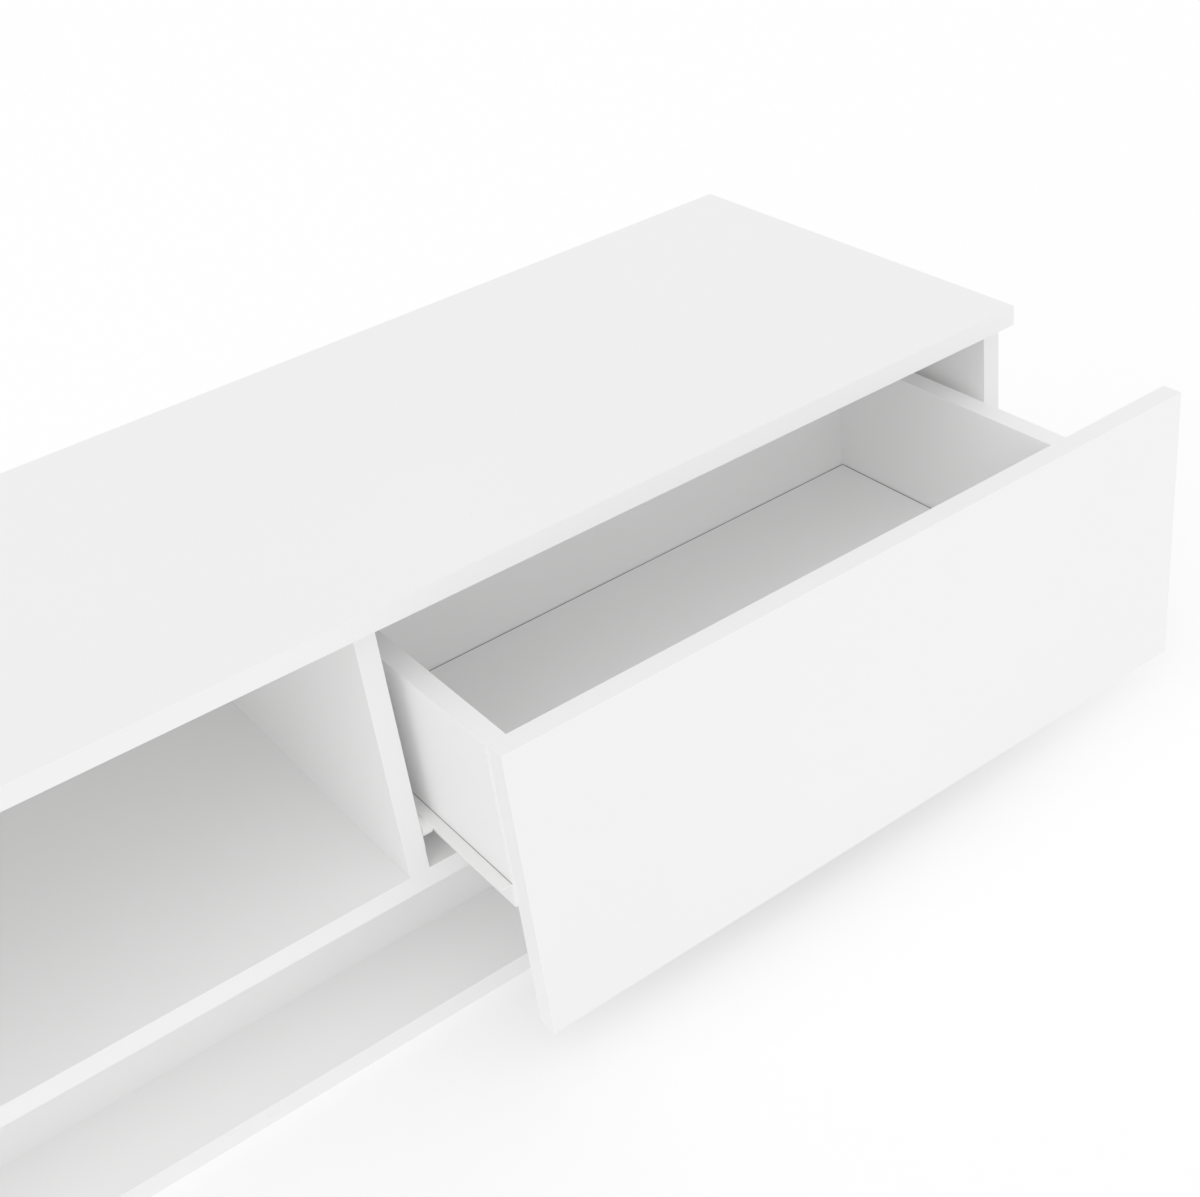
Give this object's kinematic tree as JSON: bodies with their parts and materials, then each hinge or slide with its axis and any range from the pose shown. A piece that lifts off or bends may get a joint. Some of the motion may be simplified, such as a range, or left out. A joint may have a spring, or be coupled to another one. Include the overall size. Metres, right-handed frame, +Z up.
{
  "type": "television stand",
  "caption": "Low white television stand: open middle compartment between drawers with overhanging slab fronts on roller slides, on a recessed plinth and base board.",
  "frame": {"origin": "centre of the base board's underside, on the floor", "axes": "+X to the right seen from the front, +Y to the back, +Z up; the drawers open towards -Y"},
  "size_m": [1.75, 0.4428, 0.333],
  "materials": {
    "white_laminate": "white melamine-faced board, satin, with matching edge band",
    "white_hardboard": "white painted hardboard",
    "coated_steel": "white epoxy coat, semi-gloss",
    "white_nylon": "moulded nylon",
    "zinc_steel": "bright zinc plate",
    "beech": "fluted beech dowel"
  },
  "bodies": {
    "cabinet": {"top_board": "white_laminate", "left_side_board": "white_laminate", "right_side_board": "white_laminate", "left_divider": "white_laminate", "right_divider": "white_laminate", "bottom_board": "white_laminate", "back_board": "white_hardboard", "plinth_front_rail": "white_laminate", "plinth_rear_rail": "white_laminate", "plinth_left_end": "white_laminate", "plinth_right_end": "white_laminate", "plinth_ribs": "white_laminate", "base_board": "white_laminate", "top_cams": "zinc_steel", "top_cam_bolts": "zinc_steel", "carcass_dowels": "beech", "carcass_screws": "zinc_steel", "back_pins": "zinc_steel", "track_screws": "zinc_steel", "track_rivets": "zinc_steel", "right_inner_track": "coated_steel", "right_outer_track": "coated_steel", "left_inner_track": "coated_steel", "left_outer_track": "coated_steel"},
    "right_drawer": {"right_drawer_front": "white_laminate", "right_drawer_inner_side": "white_laminate", "right_drawer_outer_side": "white_laminate", "right_drawer_back": "white_laminate", "right_drawer_floor": "white_laminate", "right_inner_runner": "coated_steel", "right_outer_runner": "coated_steel", "right_drawer_cams": "zinc_steel", "right_drawer_cam_bolts": "zinc_steel", "right_drawer_dowels": "beech", "right_drawer_screws": "zinc_steel", "right_runner_screws": "zinc_steel", "right_runner_rivets": "zinc_steel"},
    "left_drawer": {"left_drawer_front": "white_laminate", "left_drawer_inner_side": "white_laminate", "left_drawer_outer_side": "white_laminate", "left_drawer_back": "white_laminate", "left_drawer_floor": "white_laminate", "left_inner_runner": "coated_steel", "left_outer_runner": "coated_steel", "left_drawer_cams": "zinc_steel", "left_drawer_cam_bolts": "zinc_steel", "left_drawer_dowels": "beech", "left_drawer_screws": "zinc_steel", "left_runner_screws": "zinc_steel", "left_runner_rivets": "zinc_steel"},
    "right_inner_track_roller": {"right_inner_track_roller": "white_nylon"},
    "right_inner_runner_roller": {"right_inner_runner_roller": "white_nylon"},
    "right_outer_track_roller": {"right_outer_track_roller": "white_nylon"},
    "right_outer_runner_roller": {"right_outer_runner_roller": "white_nylon"},
    "left_inner_track_roller": {"left_inner_track_roller": "white_nylon"},
    "left_inner_runner_roller": {"left_inner_runner_roller": "white_nylon"},
    "left_outer_track_roller": {"left_outer_track_roller": "white_nylon"},
    "left_outer_runner_roller": {"left_outer_runner_roller": "white_nylon"}
  },
  "joints": [
    {"name": "right_drawer_slide", "type": "slide", "parent": "cabinet", "child": "right_drawer", "axis": [0, -1, 0], "range_m": [-0.09, 0.095]},
    {"name": "right_inner_track_roller_spin", "type": "hinge", "parent": "cabinet", "child": "right_inner_track_roller", "pos_m": [0.2746, -0.1495, 0.146], "axis": [1, 0, 0], "range_deg": [-620, 660]},
    {"name": "right_inner_runner_roller_spin", "type": "hinge", "parent": "right_drawer", "child": "right_inner_runner_roller", "pos_m": [0.2764, -0.011, 0.142], "axis": [1, 0, 0], "range_deg": [-620, 660]},
    {"name": "right_outer_track_roller_spin", "type": "hinge", "parent": "cabinet", "child": "right_outer_track_roller", "pos_m": [0.7794, -0.1495, 0.146], "axis": [1, 0, 0], "range_deg": [-620, 660]},
    {"name": "right_outer_runner_roller_spin", "type": "hinge", "parent": "right_drawer", "child": "right_outer_runner_roller", "pos_m": [0.7776, -0.011, 0.142], "axis": [1, 0, 0], "range_deg": [-620, 660]},
    {"name": "left_drawer_slide", "type": "slide", "parent": "cabinet", "child": "left_drawer", "axis": [0, -1, 0], "range_m": [0, 0.185]},
    {"name": "left_inner_track_roller_spin", "type": "hinge", "parent": "cabinet", "child": "left_inner_track_roller", "pos_m": [-0.2746, -0.1495, 0.146], "axis": [1, 0, 0], "range_deg": [-10, 1260]},
    {"name": "left_inner_runner_roller_spin", "type": "hinge", "parent": "left_drawer", "child": "left_inner_runner_roller", "pos_m": [-0.2764, 0.079, 0.142], "axis": [1, 0, 0], "range_deg": [-10, 1260]},
    {"name": "left_outer_track_roller_spin", "type": "hinge", "parent": "cabinet", "child": "left_outer_track_roller", "pos_m": [-0.7794, -0.1495, 0.146], "axis": [1, 0, 0], "range_deg": [-10, 1260]},
    {"name": "left_outer_runner_roller_spin", "type": "hinge", "parent": "left_drawer", "child": "left_outer_runner_roller", "pos_m": [-0.7776, 0.079, 0.142], "axis": [1, 0, 0], "range_deg": [-10, 1260]}
  ],
  "couplings": [
    {"joint": "right_inner_track_roller_spin", "follows": "right_drawer_slide", "rad_per_m": 117.65},
    {"joint": "right_inner_runner_roller_spin", "follows": "right_drawer_slide", "rad_per_m": 117.65},
    {"joint": "right_outer_track_roller_spin", "follows": "right_drawer_slide", "rad_per_m": 117.65},
    {"joint": "right_outer_runner_roller_spin", "follows": "right_drawer_slide", "rad_per_m": 117.65},
    {"joint": "left_inner_track_roller_spin", "follows": "left_drawer_slide", "rad_per_m": 117.65},
    {"joint": "left_inner_runner_roller_spin", "follows": "left_drawer_slide", "rad_per_m": 117.65},
    {"joint": "left_outer_track_roller_spin", "follows": "left_drawer_slide", "rad_per_m": 117.65},
    {"joint": "left_outer_runner_roller_spin", "follows": "left_drawer_slide", "rad_per_m": 117.65}
  ]
}
